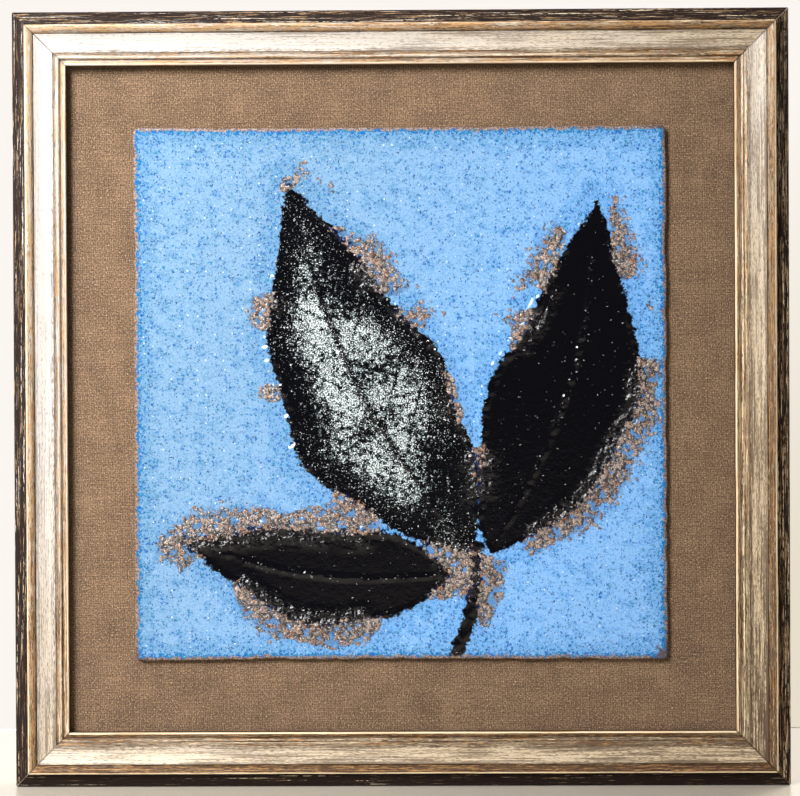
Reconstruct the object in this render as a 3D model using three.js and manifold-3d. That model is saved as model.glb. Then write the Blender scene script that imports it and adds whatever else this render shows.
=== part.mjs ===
// Framed enamel panel: an enamelled metal sheet bonded on a linen-faced board, in a mitred wooden moulding.
// Sizes are in millimetres. X runs to the right, Y into the wall and Z up, so the picture faces -Y.
// The origin is on the rear face of the sawtooth hanger, at its middle, where the object hangs on a nail.

import * as THREE from "three";
import { mergeVertices } from "three/addons/utils/BufferGeometryUtils.js";
import Module from "manifold-3d";

const wasm = await Module();
wasm.setup();

// Picture and its opening
const SIGHT_WIDTH = 250;
const SIGHT_HEIGHT = 250;
const PANEL_WIDTH = 200;
const PANEL_HEIGHT = 200;
const PANEL_THICKNESS = 2.5;
const PANEL_SHIFT_X = -0.3;
const PANEL_SHIFT_Z = 1.8;
const PANEL_CORNER = 2.2;
const PANEL_EDGE_ROUND = 0.7;
const PANEL_EDGE_WAVE = 0.5;
const CRUST_HEIGHT = 0.7;
const CRUST_WIDTH = 6;
const CRUST_CROWN = 0.55;
const RIB_WIDTH = 3;

// Members of the moulding across its face, from the outer edge inward
const FASCIA_WIDTH = 5.2;
const BEAD_WIDTH = 3.3;
const QUIRK_WIDTH = 0.4;
const FLAT_WIDTH = 6.7;
const INNER_QUIRK_WIDTH = 1.4;
const INNER_BEAD_WIDTH = 1.1;
const GROOVE_WIDTH = 0.5;
const LIP_WIDTH = 1.9;

// Heights of the members, stacked up from the back of the moulding
const REBATE_DEPTH = 11;
const LIP_DEPTH = 4.4;
const LIP_ROUND = 0.8;
const GROOVE_HOLLOW = 0.3;
const INNER_BEAD_RISE = 0.8;
const FLAT_STEP = 0.5;
const INNER_QUIRK_DEPTH = 0.5;
const INNER_QUIRK_HOLLOW = 0.2;
const FLAT_FALL = 1.2;
const FLAT_HOLLOW = 0.35;
const QUIRK_DEPTH = 0.3;
const BEAD_RISE = 1.7;
const BEAD_STEP = 3.2;
const FASCIA_FALL = 2.2;
const FASCIA_SWELL = 0.5;
const OUTER_ROUND = 1.2;
const REBATE_WIDTH = 6;
const MITRE_GAP = 0.3;

// Board and the steel points that hold it
const BOARD_THICKNESS = 3;
const BOARD_PLAY = 1;
const POINT_LENGTH = 14;
const POINT_WIDTH = 6;
const POINT_STEEL = 0.5;
const POINT_TAPER = 2.8;
const POINT_DRIVEN = 6;
const POINTS_PER_SIDE = 2;

// Hanger and its nails
const HANGER_LENGTH = 45;
const HANGER_HEIGHT = 9;
const HANGER_STEEL = 0.7;
const HANGER_RAISE = 1.6;
const HANGER_TAB = 7;
const HANGER_BEND = 2.5;
const TOOTH_PITCH = 2;
const TOOTH_DEPTH = 1.3;
const NAIL_LENGTH = 10;
const NAIL_SHANK = 1.4;
const NAIL_HEAD = 3;
const NAIL_HEAD_THICKNESS = 0.6;
const NAIL_TIP = 1.6;

// Clearances
const CONTACT_GAP = 0.3;
const CUT_OVERRUN = 1;

// Worked out from the sizes above
const FASCIA_IN = FASCIA_WIDTH;
const BEAD_IN = FASCIA_IN + BEAD_WIDTH;
const FLAT_OUT = BEAD_IN + QUIRK_WIDTH;
const FLAT_IN = FLAT_OUT + FLAT_WIDTH;
const INNER_BEAD_OUT = FLAT_IN + INNER_QUIRK_WIDTH;
const INNER_BEAD_IN = INNER_BEAD_OUT + INNER_BEAD_WIDTH;
const LIP_OUT = INNER_BEAD_IN + GROOVE_WIDTH;
const MOULDING_WIDTH = LIP_OUT + LIP_WIDTH;
const LIP_TOP = REBATE_DEPTH + LIP_DEPTH;
const FLAT_LOW = LIP_TOP + FLAT_STEP;
const FLAT_HIGH = FLAT_LOW + FLAT_FALL;
const BEAD_TOP = FLAT_HIGH + BEAD_RISE;
const FASCIA_HIGH = BEAD_TOP - BEAD_STEP;
const FASCIA_LOW = FASCIA_HIGH - FASCIA_FALL;
const RAIL_BACK = MOULDING_WIDTH - REBATE_WIDTH;
const FRAME_WIDTH = SIGHT_WIDTH + 2 * MOULDING_WIDTH;
const FRAME_HEIGHT = SIGHT_HEIGHT + 2 * MOULDING_WIDTH;
const BOARD_FRONT = REBATE_DEPTH - CONTACT_GAP;
const BOARD_BACK = BOARD_FRONT - BOARD_THICKNESS;
const BOARD_INSET = REBATE_WIDTH - BOARD_PLAY;
const PANEL_BACK = BOARD_FRONT + CONTACT_GAP;
const POINT_FRONT = BOARD_BACK - CONTACT_GAP;
const POINT_TIP_W = RAIL_BACK - POINT_DRIVEN;
const FRAME_BACK_Y = -(CONTACT_GAP + HANGER_STEEL + HANGER_RAISE);
const FRAME_CENTRE_Z = RAIL_BACK / 2 - FRAME_HEIGHT / 2;
const HANGER_TAB_Y = FRAME_BACK_Y + CONTACT_GAP;
const NAIL_X = HANGER_LENGTH / 2 - HANGER_TAB / 2;
const NAIL_HOLE_RADIUS = NAIL_SHANK / 2 + CONTACT_GAP;

// Leaves of the enamelled sprig, as shares of half the panel. bend is the sag of the midrib and waves is the
// number of ripples along an edge.
const LEAVES = [
  { base: [0.26, -0.6], tip: [-0.42, 0.8], halfWidth: 0.31, bend: 0.1, waves: 3 },
  { base: [0.34, -0.6], tip: [0.74, 0.72], halfWidth: 0.27, bend: -0.1, waves: 2.5 },
  { base: [0.2, -0.68], tip: [-0.84, -0.54], halfWidth: 0.19, bend: 0.07, waves: 2 },
];
const STEM = { base: [0.28, -0.58], tip: [0.2, -0.99], bend: 0.03 };
const LEAF_FULLNESS = 0.8;
const LEAF_RIPPLE = 0.07;
const LEAF_STEPS = 24;

const materials = {
  moulding: new THREE.MeshStandardMaterial({ color: 0xb9ab96, roughness: 0.45, metalness: 0.35 }),
  linen: new THREE.MeshStandardMaterial({ color: 0x77654f, roughness: 0.85, metalness: 0 }),
  enamel: new THREE.MeshStandardMaterial({ color: 0x6f9cc4, roughness: 0.15, metalness: 0 }),
  steel: new THREE.MeshStandardMaterial({ color: 0xa8a8a6, roughness: 0.4, metalness: 1 }),
  hanger: new THREE.MeshStandardMaterial({ color: 0xb39a58, roughness: 0.35, metalness: 1 }),
};

// A closed solid for booleans, from any closed geometry.
function toSolid(geometry) {
  const bare = geometry.clone();
  bare.deleteAttribute("normal");
  bare.deleteAttribute("uv");
  const merged = mergeVertices(bare, 1e-4);
  return new wasm.Manifold(
    new wasm.Mesh({
      numProp: 3,
      vertProperties: new Float32Array(merged.attributes.position.array),
      triVerts: new Uint32Array(merged.index.array),
    }),
  );
}

function toGeometry(solid) {
  const mesh = solid.getMesh();
  const geometry = new THREE.BufferGeometry();
  geometry.setAttribute("position", new THREE.BufferAttribute(mesh.vertProperties, 3));
  geometry.setIndex(new THREE.BufferAttribute(mesh.triVerts, 1));
  geometry.computeVertexNormals();
  return geometry;
}

function mesh(name, geometry, material) {
  const made = new THREE.Mesh(geometry, material);
  made.name = name;
  return made;
}

// A member that bulges or sinks as a parabola between two points of the section.
function bow(from, to, rise, steps) {
  const points = [];
  for (let i = 0; i <= steps; i += 1) {
    const s = i / steps;
    points.push([
      from[0] + (to[0] - from[0]) * s,
      from[1] + (to[1] - from[1]) * s + 4 * rise * s * (1 - s),
    ]);
  }
  return points;
}

// A bead: half an ellipse that stands on the line between two points of the section.
function bead(from, to, rise, steps) {
  const points = [];
  for (let i = 0; i <= steps; i += 1) {
    const angle = (Math.PI * i) / steps;
    const s = (1 - Math.cos(angle)) / 2;
    points.push([
      from[0] + (to[0] - from[0]) * s,
      from[1] + (to[1] - from[1]) * s + rise * Math.sin(angle),
    ]);
  }
  return points;
}

// Section of the moulding as [distance in from the outer edge, height in front of the back] pairs.
function mouldingSection() {
  const outerArc = [];
  for (let i = 0; i <= 3; i += 1) {
    const angle = (Math.PI / 2) * (i / 3);
    outerArc.push([
      OUTER_ROUND * (1 - Math.cos(angle)),
      FASCIA_LOW - OUTER_ROUND * (1 - Math.sin(angle)),
    ]);
  }
  const beadBase = FLAT_HIGH - QUIRK_DEPTH;
  const quirkFloor = LIP_TOP - INNER_QUIRK_DEPTH;
  const lipBase = LIP_TOP - LIP_ROUND;
  const points = [
    [0, 0],
    ...outerArc,
    ...bow([OUTER_ROUND, FASCIA_LOW], [FASCIA_IN, FASCIA_HIGH], FASCIA_SWELL, 4),
    ...bead([FASCIA_IN, beadBase], [BEAD_IN, beadBase], BEAD_TOP - beadBase, 10),
    ...bow([FLAT_OUT, FLAT_HIGH], [FLAT_IN, FLAT_LOW], -FLAT_HOLLOW, 6),
    ...bow([FLAT_IN, quirkFloor], [INNER_BEAD_OUT, quirkFloor], -INNER_QUIRK_HOLLOW, 3),
    ...bead([INNER_BEAD_OUT, quirkFloor], [INNER_BEAD_IN, lipBase], INNER_BEAD_RISE, 6),
    ...bow([INNER_BEAD_IN, lipBase], [LIP_OUT, lipBase], -GROOVE_HOLLOW, 3),
    ...bead([LIP_OUT, lipBase], [MOULDING_WIDTH, lipBase], LIP_ROUND, 5),
    [MOULDING_WIDTH, REBATE_DEPTH],
    [RAIL_BACK, REBATE_DEPTH],
    [RAIL_BACK, 0],
  ];
  const apart = (p, q) => Math.hypot(p[0] - q[0], p[1] - q[1]) > 1e-6;
  return points.filter((p, i) => i === 0 || apart(p, points[i - 1]));
}

// A rail with x along it, y to the wall and z from the picture's centre, so that quarter turns about Y
// give all four sides. reach is the distance from the centre to the outer edge.
function railGeometry(run, reach) {
  const shape = new THREE.Shape(mouldingSection().map(([w, t]) => new THREE.Vector2(w, t)));
  const geometry = new THREE.ExtrudeGeometry(shape, { depth: run, steps: 1, bevelEnabled: false });
  const position = geometry.attributes.position;
  const setBack = (MITRE_GAP / 2) * Math.SQRT2;
  for (let i = 0; i < position.count; i += 1) {
    const w = position.getX(i);
    const t = position.getY(i);
    const half = run / 2 - w - setBack;
    const u = position.getZ(i) < run / 2 ? -half : half;
    position.setXYZ(i, u, -t, w - reach);
  }
  return geometry;
}

function pointPlaces(opening) {
  const pitch = opening / POINTS_PER_SIDE;
  return Array.from({ length: POINTS_PER_SIDE }, (_, i) => (i + 0.5) * pitch - opening / 2);
}

// Outline of one framer's point in the rail frame's x and z, driven end down.
function pointOutline(u, reach, grow) {
  const half = POINT_WIDTH / 2 + grow;
  const tip = POINT_TIP_W - grow - reach;
  const shoulder = tip + POINT_TAPER;
  const end = POINT_TIP_W + POINT_LENGTH + grow - reach;
  return new THREE.Shape([
    new THREE.Vector2(u, tip),
    new THREE.Vector2(u + half, shoulder),
    new THREE.Vector2(u + half, end),
    new THREE.Vector2(u - half, end),
    new THREE.Vector2(u - half, shoulder),
  ]);
}

// A flat plate with an outline in x and z. Its front face is at the height top, and it is depth thick.
function plate(shape, top, depth) {
  const geometry = new THREE.ExtrudeGeometry(shape, { depth, bevelEnabled: false });
  geometry.translate(0, 0, top - depth);
  geometry.rotateX(Math.PI / 2);
  return geometry;
}

function pointGeometry(u, reach) {
  return plate(pointOutline(u, reach, 0), POINT_FRONT, POINT_STEEL);
}

function pointSlot(u, reach) {
  const outline = pointOutline(u, reach, CONTACT_GAP);
  return toSolid(plate(outline, POINT_FRONT + CONTACT_GAP, POINT_STEEL + 2 * CONTACT_GAP));
}

// A round hole along Y, open to the rear.
function nailHole(x, z, rearY, depth) {
  const hole = new THREE.CylinderGeometry(NAIL_HOLE_RADIUS, NAIL_HOLE_RADIUS, depth + CUT_OVERRUN, 12);
  hole.translate(x, rearY + (CUT_OVERRUN - depth) / 2, z);
  return toSolid(hole);
}

// Outline of the hand-cut sheet: straight sides that wander inward a little, with small round corners.
function panelOutline() {
  const steps = 16;
  const arcSteps = 3;
  const points = [];
  for (let side = 0; side < 4; side += 1) {
    const along = side % 2 === 0 ? PANEL_WIDTH : PANEL_HEIGHT;
    const across = side % 2 === 0 ? PANEL_HEIGHT : PANEL_WIDTH;
    const turn = (side * Math.PI) / 2;
    const run = along - 2 * PANEL_CORNER;
    const local = [];
    for (let i = 1; i < steps; i += 1) {
      const s = i / steps;
      const wander = Math.sin(5.1 * s + 2.3 * side) * 0.6 + Math.sin(13 * s + 1.7 * side) * 0.4;
      const fade = Math.sin(Math.PI * s);
      local.push([-run / 2 + run * s, -across / 2 + PANEL_EDGE_WAVE * fade * (1 + wander) * 0.5]);
    }
    for (let i = 0; i <= arcSteps; i += 1) {
      const angle = -Math.PI / 2 + (Math.PI / 2) * (i / arcSteps);
      local.push([
        run / 2 + PANEL_CORNER * Math.cos(angle),
        -across / 2 + PANEL_CORNER * (1 + Math.sin(angle)),
      ]);
    }
    points.push(...local.map(([x, z]) => new THREE.Vector2(x, z).rotateAround(new THREE.Vector2(), turn)));
  }
  return new THREE.Shape(points);
}

// A point of a leaf at the share s of its length. offset is measured from the midrib in millimetres.
function leafPoint(leaf, s, offset) {
  const half = [PANEL_WIDTH / 2, PANEL_HEIGHT / 2];
  const base = [leaf.base[0] * half[0], leaf.base[1] * half[1]];
  const tip = [leaf.tip[0] * half[0], leaf.tip[1] * half[1]];
  const run = [tip[0] - base[0], tip[1] - base[1]];
  const length = Math.hypot(run[0], run[1]);
  const normal = [-run[1] / length, run[0] / length];
  const sag = leaf.bend * half[0] * Math.sin(Math.PI * s) + offset;
  return [base[0] + run[0] * s + normal[0] * sag, base[1] + run[1] * s + normal[1] * sag];
}

function leafHalfWidth(leaf, s, side) {
  const body = Math.sin(Math.PI * s ** LEAF_FULLNESS);
  const ripple = 1 + LEAF_RIPPLE * Math.sin(2 * Math.PI * leaf.waves * s + side);
  return leaf.halfWidth * (PANEL_WIDTH / 2) * body * ripple;
}

// A raised band of fused crust along a path: a low section with sloping edges, tapered at both ends and
// sunk a little into the sheet.
function crustBand(path, width) {
  const sunk = -PANEL_THICKNESS / 3;
  const section = [
    [1, sunk],
    [1, 0],
    [CRUST_CROWN, CRUST_HEIGHT],
    [-CRUST_CROWN, CRUST_HEIGHT],
    [-1, 0],
    [-1, sunk],
  ];
  const last = path.length - 1;
  const corners = section.length;
  const positions = [];
  path.forEach((point, i) => {
    const before = path[Math.max(i - 1, 0)];
    const after = path[Math.min(i + 1, last)];
    const run = [after[0] - before[0], after[1] - before[1]];
    const length = Math.hypot(run[0], run[1]);
    const body = 0.3 + 0.7 * Math.sin((Math.PI * i) / last);
    const half = (width / 2) * body;
    for (const [share, height] of section) {
      const rise = height > 0 ? height * body : height;
      positions.push(
        point[0] - (run[1] / length) * half * share,
        point[1] + (run[0] / length) * half * share,
        PANEL_THICKNESS + rise,
      );
    }
  });
  const index = [];
  for (let i = 0; i < last; i += 1) {
    for (let k = 0; k < corners; k += 1) {
      const a = i * corners + k;
      const b = i * corners + ((k + 1) % corners);
      index.push(a, b, a + corners, b, b + corners, a + corners);
    }
  }
  for (let k = 1; k < corners - 1; k += 1) {
    const end = last * corners;
    index.push(0, k + 1, k);
    index.push(end, end + k, end + k + 1);
  }
  const geometry = new THREE.BufferGeometry();
  geometry.setAttribute("position", new THREE.Float32BufferAttribute(positions, 3));
  geometry.setIndex(index);
  return toSolid(geometry);
}

function leafBands(leaf) {
  const edges = [1, -1].map((side) => {
    const path = [];
    for (let i = 0; i <= LEAF_STEPS; i += 1) {
      const s = i / LEAF_STEPS;
      path.push(leafPoint(leaf, s, side * leafHalfWidth(leaf, s, side)));
    }
    return crustBand(path, CRUST_WIDTH);
  });
  const rib = [];
  for (let i = 0; i <= LEAF_STEPS / 2; i += 1) {
    rib.push(leafPoint(leaf, (0.94 * i) / (LEAF_STEPS / 2), 0));
  }
  return [...edges, crustBand(rib, RIB_WIDTH)];
}

// The enamelled sheet, with z = 0 on its back before it is turned to face -Y.
function panelGeometry() {
  const sheet = new THREE.ExtrudeGeometry(panelOutline(), {
    depth: PANEL_THICKNESS - 2 * PANEL_EDGE_ROUND,
    bevelEnabled: true,
    bevelThickness: PANEL_EDGE_ROUND,
    bevelSize: PANEL_EDGE_ROUND,
    bevelOffset: -PANEL_EDGE_ROUND,
    bevelSegments: 2,
  });
  sheet.translate(0, 0, PANEL_EDGE_ROUND);
  const stem = [];
  for (let i = 0; i <= LEAF_STEPS / 2; i += 1) {
    stem.push(leafPoint(STEM, i / (LEAF_STEPS / 2), 0));
  }
  let solid = toSolid(sheet);
  for (const band of [...LEAVES.flatMap(leafBands), crustBand(stem, CRUST_WIDTH)]) {
    solid = solid.add(band);
  }
  const geometry = toGeometry(solid);
  geometry.rotateX(Math.PI / 2);
  geometry.translate(PANEL_SHIFT_X, -PANEL_BACK, PANEL_SHIFT_Z);
  return geometry;
}

// The pressed steel strip: end tabs on the wood, a raised middle, and teeth along the middle's lower edge.
function hangerGeometry() {
  const half = HANGER_LENGTH / 2;
  const bendOut = half - HANGER_TAB;
  const bendIn = bendOut - HANGER_BEND;
  const front = [
    [-half, 0],
    [-bendOut, 0],
    [-bendIn, HANGER_RAISE],
    [bendIn, HANGER_RAISE],
    [bendOut, 0],
    [half, 0],
  ];
  const rear = front.map(([x, y]) => [x, y + HANGER_STEEL]).reverse();
  const strip = new THREE.Shape([...front, ...rear].map(([x, y]) => new THREE.Vector2(x, y + HANGER_TAB_Y)));
  const geometry = new THREE.ExtrudeGeometry(strip, { depth: HANGER_HEIGHT, bevelEnabled: false });
  geometry.translate(0, 0, -HANGER_HEIGHT / 2);

  const teeth = Math.floor((2 * bendIn) / TOOTH_PITCH);
  const left = (-teeth * TOOTH_PITCH) / 2;
  const low = -HANGER_HEIGHT / 2 - CUT_OVERRUN;
  const root = -HANGER_HEIGHT / 2;
  const saw = [new THREE.Vector2(left, low)];
  for (let i = 0; i < teeth; i += 1) {
    saw.push(new THREE.Vector2(left + i * TOOTH_PITCH, root));
    saw.push(new THREE.Vector2(left + (i + 0.5) * TOOTH_PITCH, root + TOOTH_DEPTH));
  }
  saw.push(new THREE.Vector2(-left, root), new THREE.Vector2(-left, low));
  const cutDepth = HANGER_STEEL + 2 * CUT_OVERRUN;
  const sawCut = plate(new THREE.Shape(saw.reverse()), CUT_OVERRUN, cutDepth);
  sawCut.translate(0, HANGER_TAB_Y + HANGER_RAISE + HANGER_STEEL, 0);

  let solid = toSolid(geometry).subtract(toSolid(sawCut));
  for (const x of [-NAIL_X, NAIL_X]) {
    solid = solid.subtract(nailHole(x, 0, HANGER_TAB_Y + HANGER_STEEL, HANGER_STEEL + CUT_OVERRUN));
  }
  return toGeometry(solid);
}

// A nail along Y, its head behind the hanger's tab and its tip in the rail.
function nailGeometry() {
  const headFront = HANGER_TAB_Y + HANGER_STEEL + CONTACT_GAP;
  const headRear = headFront + NAIL_HEAD_THICKNESS;
  const tip = headFront - NAIL_LENGTH;
  const profile = [
    [0, tip],
    [NAIL_SHANK / 2, tip + NAIL_TIP],
    [NAIL_SHANK / 2, headFront],
    [NAIL_HEAD / 2, headFront],
    [NAIL_HEAD / 2, headRear - NAIL_HEAD_THICKNESS / 3],
    [NAIL_HEAD / 3, headRear],
    [0, headRear],
  ];
  return new THREE.LatheGeometry(profile.map(([r, y]) => new THREE.Vector2(r, y)), 12);
}

function topRailNailHoles(reach) {
  const z = RAIL_BACK / 2 - reach;
  const depth = NAIL_LENGTH + CONTACT_GAP;
  return [-NAIL_X, NAIL_X].map((x) => nailHole(x, z, 0, depth));
}

const model = new THREE.Group();
const framed = new THREE.Group();
framed.position.set(0, FRAME_BACK_Y, FRAME_CENTRE_Z);
model.add(framed);

const sides = [
  { name: "bottom", quarter: 0, run: FRAME_WIDTH, opening: SIGHT_WIDTH, reach: FRAME_HEIGHT / 2 },
  { name: "left", quarter: 1, run: FRAME_HEIGHT, opening: SIGHT_HEIGHT, reach: FRAME_WIDTH / 2 },
  { name: "top", quarter: 2, run: FRAME_WIDTH, opening: SIGHT_WIDTH, reach: FRAME_HEIGHT / 2 },
  { name: "right", quarter: 3, run: FRAME_HEIGHT, opening: SIGHT_HEIGHT, reach: FRAME_WIDTH / 2 },
];
for (const { name, quarter, run, opening, reach } of sides) {
  let rail = toSolid(railGeometry(run, reach));
  for (const u of pointPlaces(opening)) {
    rail = rail.subtract(pointSlot(u, reach));
  }
  if (name === "top") {
    for (const hole of topRailNailHoles(reach)) {
      rail = rail.subtract(hole);
    }
  }
  const pieces = [mesh(`frame_${name}`, toGeometry(rail), materials.moulding)];
  pointPlaces(opening).forEach((u, i) => {
    pieces.push(mesh(`board_point_${name}_${i + 1}`, pointGeometry(u, reach), materials.steel));
  });
  for (const piece of pieces) {
    piece.rotation.y = (quarter * Math.PI) / 2;
    framed.add(piece);
  }
}

const boardWidth = SIGHT_WIDTH + 2 * BOARD_INSET;
const boardHeight = SIGHT_HEIGHT + 2 * BOARD_INSET;
const board = new THREE.BoxGeometry(boardWidth, BOARD_THICKNESS, boardHeight);
board.translate(0, -(BOARD_FRONT + BOARD_BACK) / 2, 0);
framed.add(mesh("mount_board", board, materials.linen));
framed.add(mesh("enamel_panel", panelGeometry(), materials.enamel));

model.add(mesh("sawtooth_hanger", hangerGeometry(), materials.hanger));
for (const [name, x] of [["hanger_nail_left", -NAIL_X], ["hanger_nail_right", NAIL_X]]) {
  const nail = mesh(name, nailGeometry(), materials.steel);
  nail.position.x = x;
  model.add(nail);
}

export default model;
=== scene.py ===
"""Looks of the framed enamel panel: a moulding of dark, gold-brown and champagne-silver members, a
linen-faced board and a square of glossy enamel with a sprig of three leaves. Everything is in metres, with
X to the right, Y into the wall and Z up."""

import math

import bpy
import numpy as np
from mathutils import Matrix, Vector


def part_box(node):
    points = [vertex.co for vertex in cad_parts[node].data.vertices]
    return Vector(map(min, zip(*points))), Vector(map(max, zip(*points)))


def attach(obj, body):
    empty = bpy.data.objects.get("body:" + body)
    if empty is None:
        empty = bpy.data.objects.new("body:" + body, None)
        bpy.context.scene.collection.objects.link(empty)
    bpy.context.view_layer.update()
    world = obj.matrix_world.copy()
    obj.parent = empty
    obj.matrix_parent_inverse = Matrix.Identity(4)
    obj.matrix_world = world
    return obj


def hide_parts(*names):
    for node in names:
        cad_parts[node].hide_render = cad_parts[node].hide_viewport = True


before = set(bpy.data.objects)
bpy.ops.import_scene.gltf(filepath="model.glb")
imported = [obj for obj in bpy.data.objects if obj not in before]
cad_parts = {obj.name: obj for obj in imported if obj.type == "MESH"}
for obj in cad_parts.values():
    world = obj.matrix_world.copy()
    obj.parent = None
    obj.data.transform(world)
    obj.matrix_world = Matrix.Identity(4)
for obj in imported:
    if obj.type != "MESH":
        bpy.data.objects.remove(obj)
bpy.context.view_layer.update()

bl_info = {
    "name": "Framed enamel panel",
    "version": (1, 0, 0),
    "blender": (4, 5, 0),
    "location": "View3D > Sidebar > Enamel",
    "description": "Builds the moulding, the linen-faced board and the enamelled sheet of a framed panel",
    "category": "Object",
}

MM = 0.001

# How each rail looks: the shift of the streaks in its stain, the strength of the painted highlight along its
# bead's outer arris, the painted shade on its bead (below zero the bead is painted paler), and its wear from
# one end to the other, which also paints the light: low toward the upper left, where the leaf is painted
# whiter, and high toward the lower right, where it is painted browner and darker. Each rail is a quarter
# turn on from the one before.
RAIL_LOOKS = {
    "bottom": {"streaks": -0.08, "crest_highlight": 1.0, "bead_shade": 0.5, "wear_and_light": (0.72, 1.05)},
    "left": {"streaks": -0.035, "crest_highlight": 0.6, "bead_shade": 0.0, "wear_and_light": (0.05, 0.75)},
    "top": {"streaks": -0.025, "crest_highlight": 0.2, "bead_shade": 0.05, "wear_and_light": (0.85, 0.25)},
    "right": {"streaks": -0.005, "crest_highlight": 0.95, "bead_shade": -0.35, "wear_and_light": (1.25, 0.6)},
}

# The steel points and nails stay as the frame has them, with a plated finish
SMALL_STEEL = [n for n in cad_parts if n.startswith(("board_point_", "hanger_nail_"))]

# The frame's own places, from its packed rails
OUTER_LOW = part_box("frame_left")[0]
OUTER_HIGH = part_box("frame_right")[1]
FRAME_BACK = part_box("frame_top")[1].y
FRAME_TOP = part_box("frame_top")[1].z
FRAME_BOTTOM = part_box("frame_bottom")[0].z
FRAME_CENTRE = Vector(((OUTER_LOW.x + OUTER_HIGH.x) / 2, FRAME_BACK, (FRAME_TOP + FRAME_BOTTOM) / 2))
RAIL_RUN = FRAME_TOP - FRAME_BOTTOM
RAIL_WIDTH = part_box("frame_bottom")[1].z - FRAME_BOTTOM

# Leaves of the sprig and its stem, as shares of half the sheet: each runs from base to tip and sags by bend.
# The stem's radius and the pitch of the side veins are in millimetres.
LEAVES = {
    "frosted": {"base": (0.26, -0.6), "tip": (-0.42, 0.8), "bend": 0.1, "half_width": 0.31, "waves": 3},
    "right": {"base": (0.34, -0.6), "tip": (0.74, 0.72), "bend": -0.1, "half_width": 0.27, "waves": 2.5},
    "low": {"base": (0.2, -0.68), "tip": (-0.84, -0.54), "bend": 0.07, "half_width": 0.19, "waves": 2},
}
STEM = {"base": (0.28, -0.58), "tip": (0.2, -0.99), "bend": 0.03}
LEAF_FULLNESS = 0.8
LEAF_RIPPLE = 0.07
STEM_RADIUS = 2.6
BRANCH_PITCH = 15.0

# Where the sheet's ground turns from its darker blue at the upper left to its light blue, in millimetres.
# The darker blue is painted shade against the brighter light at the upper left.
SHEET_SWEEP = (-20.0, 110.0)


def linear(red, green, blue):
    """Colour from 8-bit screen values to the linear values that shaders use."""
    shares = [c / 255 for c in (red, green, blue)]
    return tuple(s / 12.92 if s <= 0.04045 else ((s + 0.055) / 1.055) ** 2.4 for s in shares)


def dimmed(colour, share):
    """A linear colour at a share of its brightness."""
    return tuple(c * share for c in colour)


def length(name, description, millimetres):
    return bpy.props.FloatProperty(
        name=name, description=description, default=millimetres * MM, min=0.0, unit="LENGTH", precision=5
    )


def ratio(name, description, value):
    return bpy.props.FloatProperty(name=name, description=description, default=value, min=0.1, max=3.0)


def colour(name, description, red, green, blue):
    return bpy.props.FloatVectorProperty(
        name=name,
        description=description,
        default=linear(red, green, blue),
        size=3,
        min=0.0,
        max=1.0,
        subtype="COLOR",
    )


class MouldingSizes(bpy.types.PropertyGroup):
    """Members of the moulding across its face, and their heights over its back."""

    fascia: length("Fascia", "Width of the dark outer member", 5.2)
    bead: length("Bead", "Width of the gold-brown bead", 3.3)
    quirk: length("Quirk", "Width of the dark line inside the bead", 0.4)
    flat: length("Flat", "Width of the champagne-silver flat", 6.7)
    inner_quirk: length("Inner quirk", "Width of the brown hollow inside the flat", 1.4)
    inner_bead: length("Inner bead", "Width of the small bead", 1.1)
    groove: length("Groove", "Width of the dark groove outside the lip", 0.5)
    lip: length("Lip", "Width of the lip at the opening", 1.9)
    rebate_depth: length("Rebate depth", "Height of the shoulder that the board rests against", 11.0)
    rebate_width: length("Rebate width", "How far the lip stands over the board", 6.0)
    lip_depth: length("Lip depth", "Height of the lip over the shoulder", 4.4)
    lip_round: length("Lip round", "Rise of the lip's rounded top", 0.8)
    groove_hollow: length("Groove hollow", "Depth of the groove", 0.3)
    inner_bead_rise: length("Inner bead rise", "Rise of the small bead", 0.8)
    flat_step: length("Flat step", "Height of the flat's inner edge over the lip", 0.5)
    inner_quirk_depth: length("Inner quirk depth", "Depth of the inner quirk under the lip", 0.5)
    inner_quirk_hollow: length("Inner quirk hollow", "Extra depth in the middle of the inner quirk", 0.2)
    flat_fall: length("Flat fall", "How far the flat falls toward the picture", 1.2)
    flat_hollow: length("Flat hollow", "Depth of the shallow scoop in the flat", 0.35)
    quirk_depth: length("Quirk depth", "Depth of the quirk beside the bead", 0.3)
    bead_rise: length("Bead rise", "Height of the bead over the flat", 1.7)
    bead_step: length("Bead step", "Drop from the bead to the fascia", 3.2)
    fascia_fall: length("Fascia fall", "How far the fascia falls outward", 2.2)
    fascia_swell: length("Fascia swell", "Bulge of the fascia", 0.5)
    outer_round: length("Outer round", "Radius of the outer arris", 1.2)
    mitre_gap: length("Mitre gap", "Open joint between two rails", 0.16)
    bead_lean: ratio("Bead lean", "Above 1, the bead's crown stands toward the fascia", 1.7)
    lip_lean: ratio("Lip lean", "Below 1, the lip's crown stands toward the opening", 0.5)
    grain_depth: length("Grain depth", "Deepest open grain in the dark fascia", 0.16)
    leaf_wear: length("Leaf wear", "Depth of the rubbed streaks in the metal leaf", 0.05)


class SheetSizes(bpy.types.PropertyGroup):
    """The enamelled sheet and the board behind it."""

    sheet_thickness: length("Sheet thickness", "Metal with the enamel fused on it", 2.5)
    sheet_corner: length("Sheet corner", "Radius of the sheet's corners", 2.2)
    edge_round: length("Edge round", "Radius of the enamel over the sheet's edge", 0.7)
    edge_wave: length("Edge wave", "How far the hand-cut sides wander inward", 0.5)
    crust_height: length("Crust height", "Rise of the fused crust along the leaves", 0.7)
    crust_width: length("Crust width", "Width of the raised crust along the leaves", 6.0)
    rib_width: length("Rib width", "Width of the raised midribs", 3.0)
    edge_nibble: length("Edge nibble", "Depth of the small notches in the enamel's outline", 0.5)
    bead_height: length("Bead height", "Rise of the glassy lumps beside the leaves", 0.4)
    peel: length("Peel", "Depth of the enamel's ripples", 0.07)
    linen_relief: length("Linen relief", "Depth of the facing's nap", 0.07)


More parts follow.
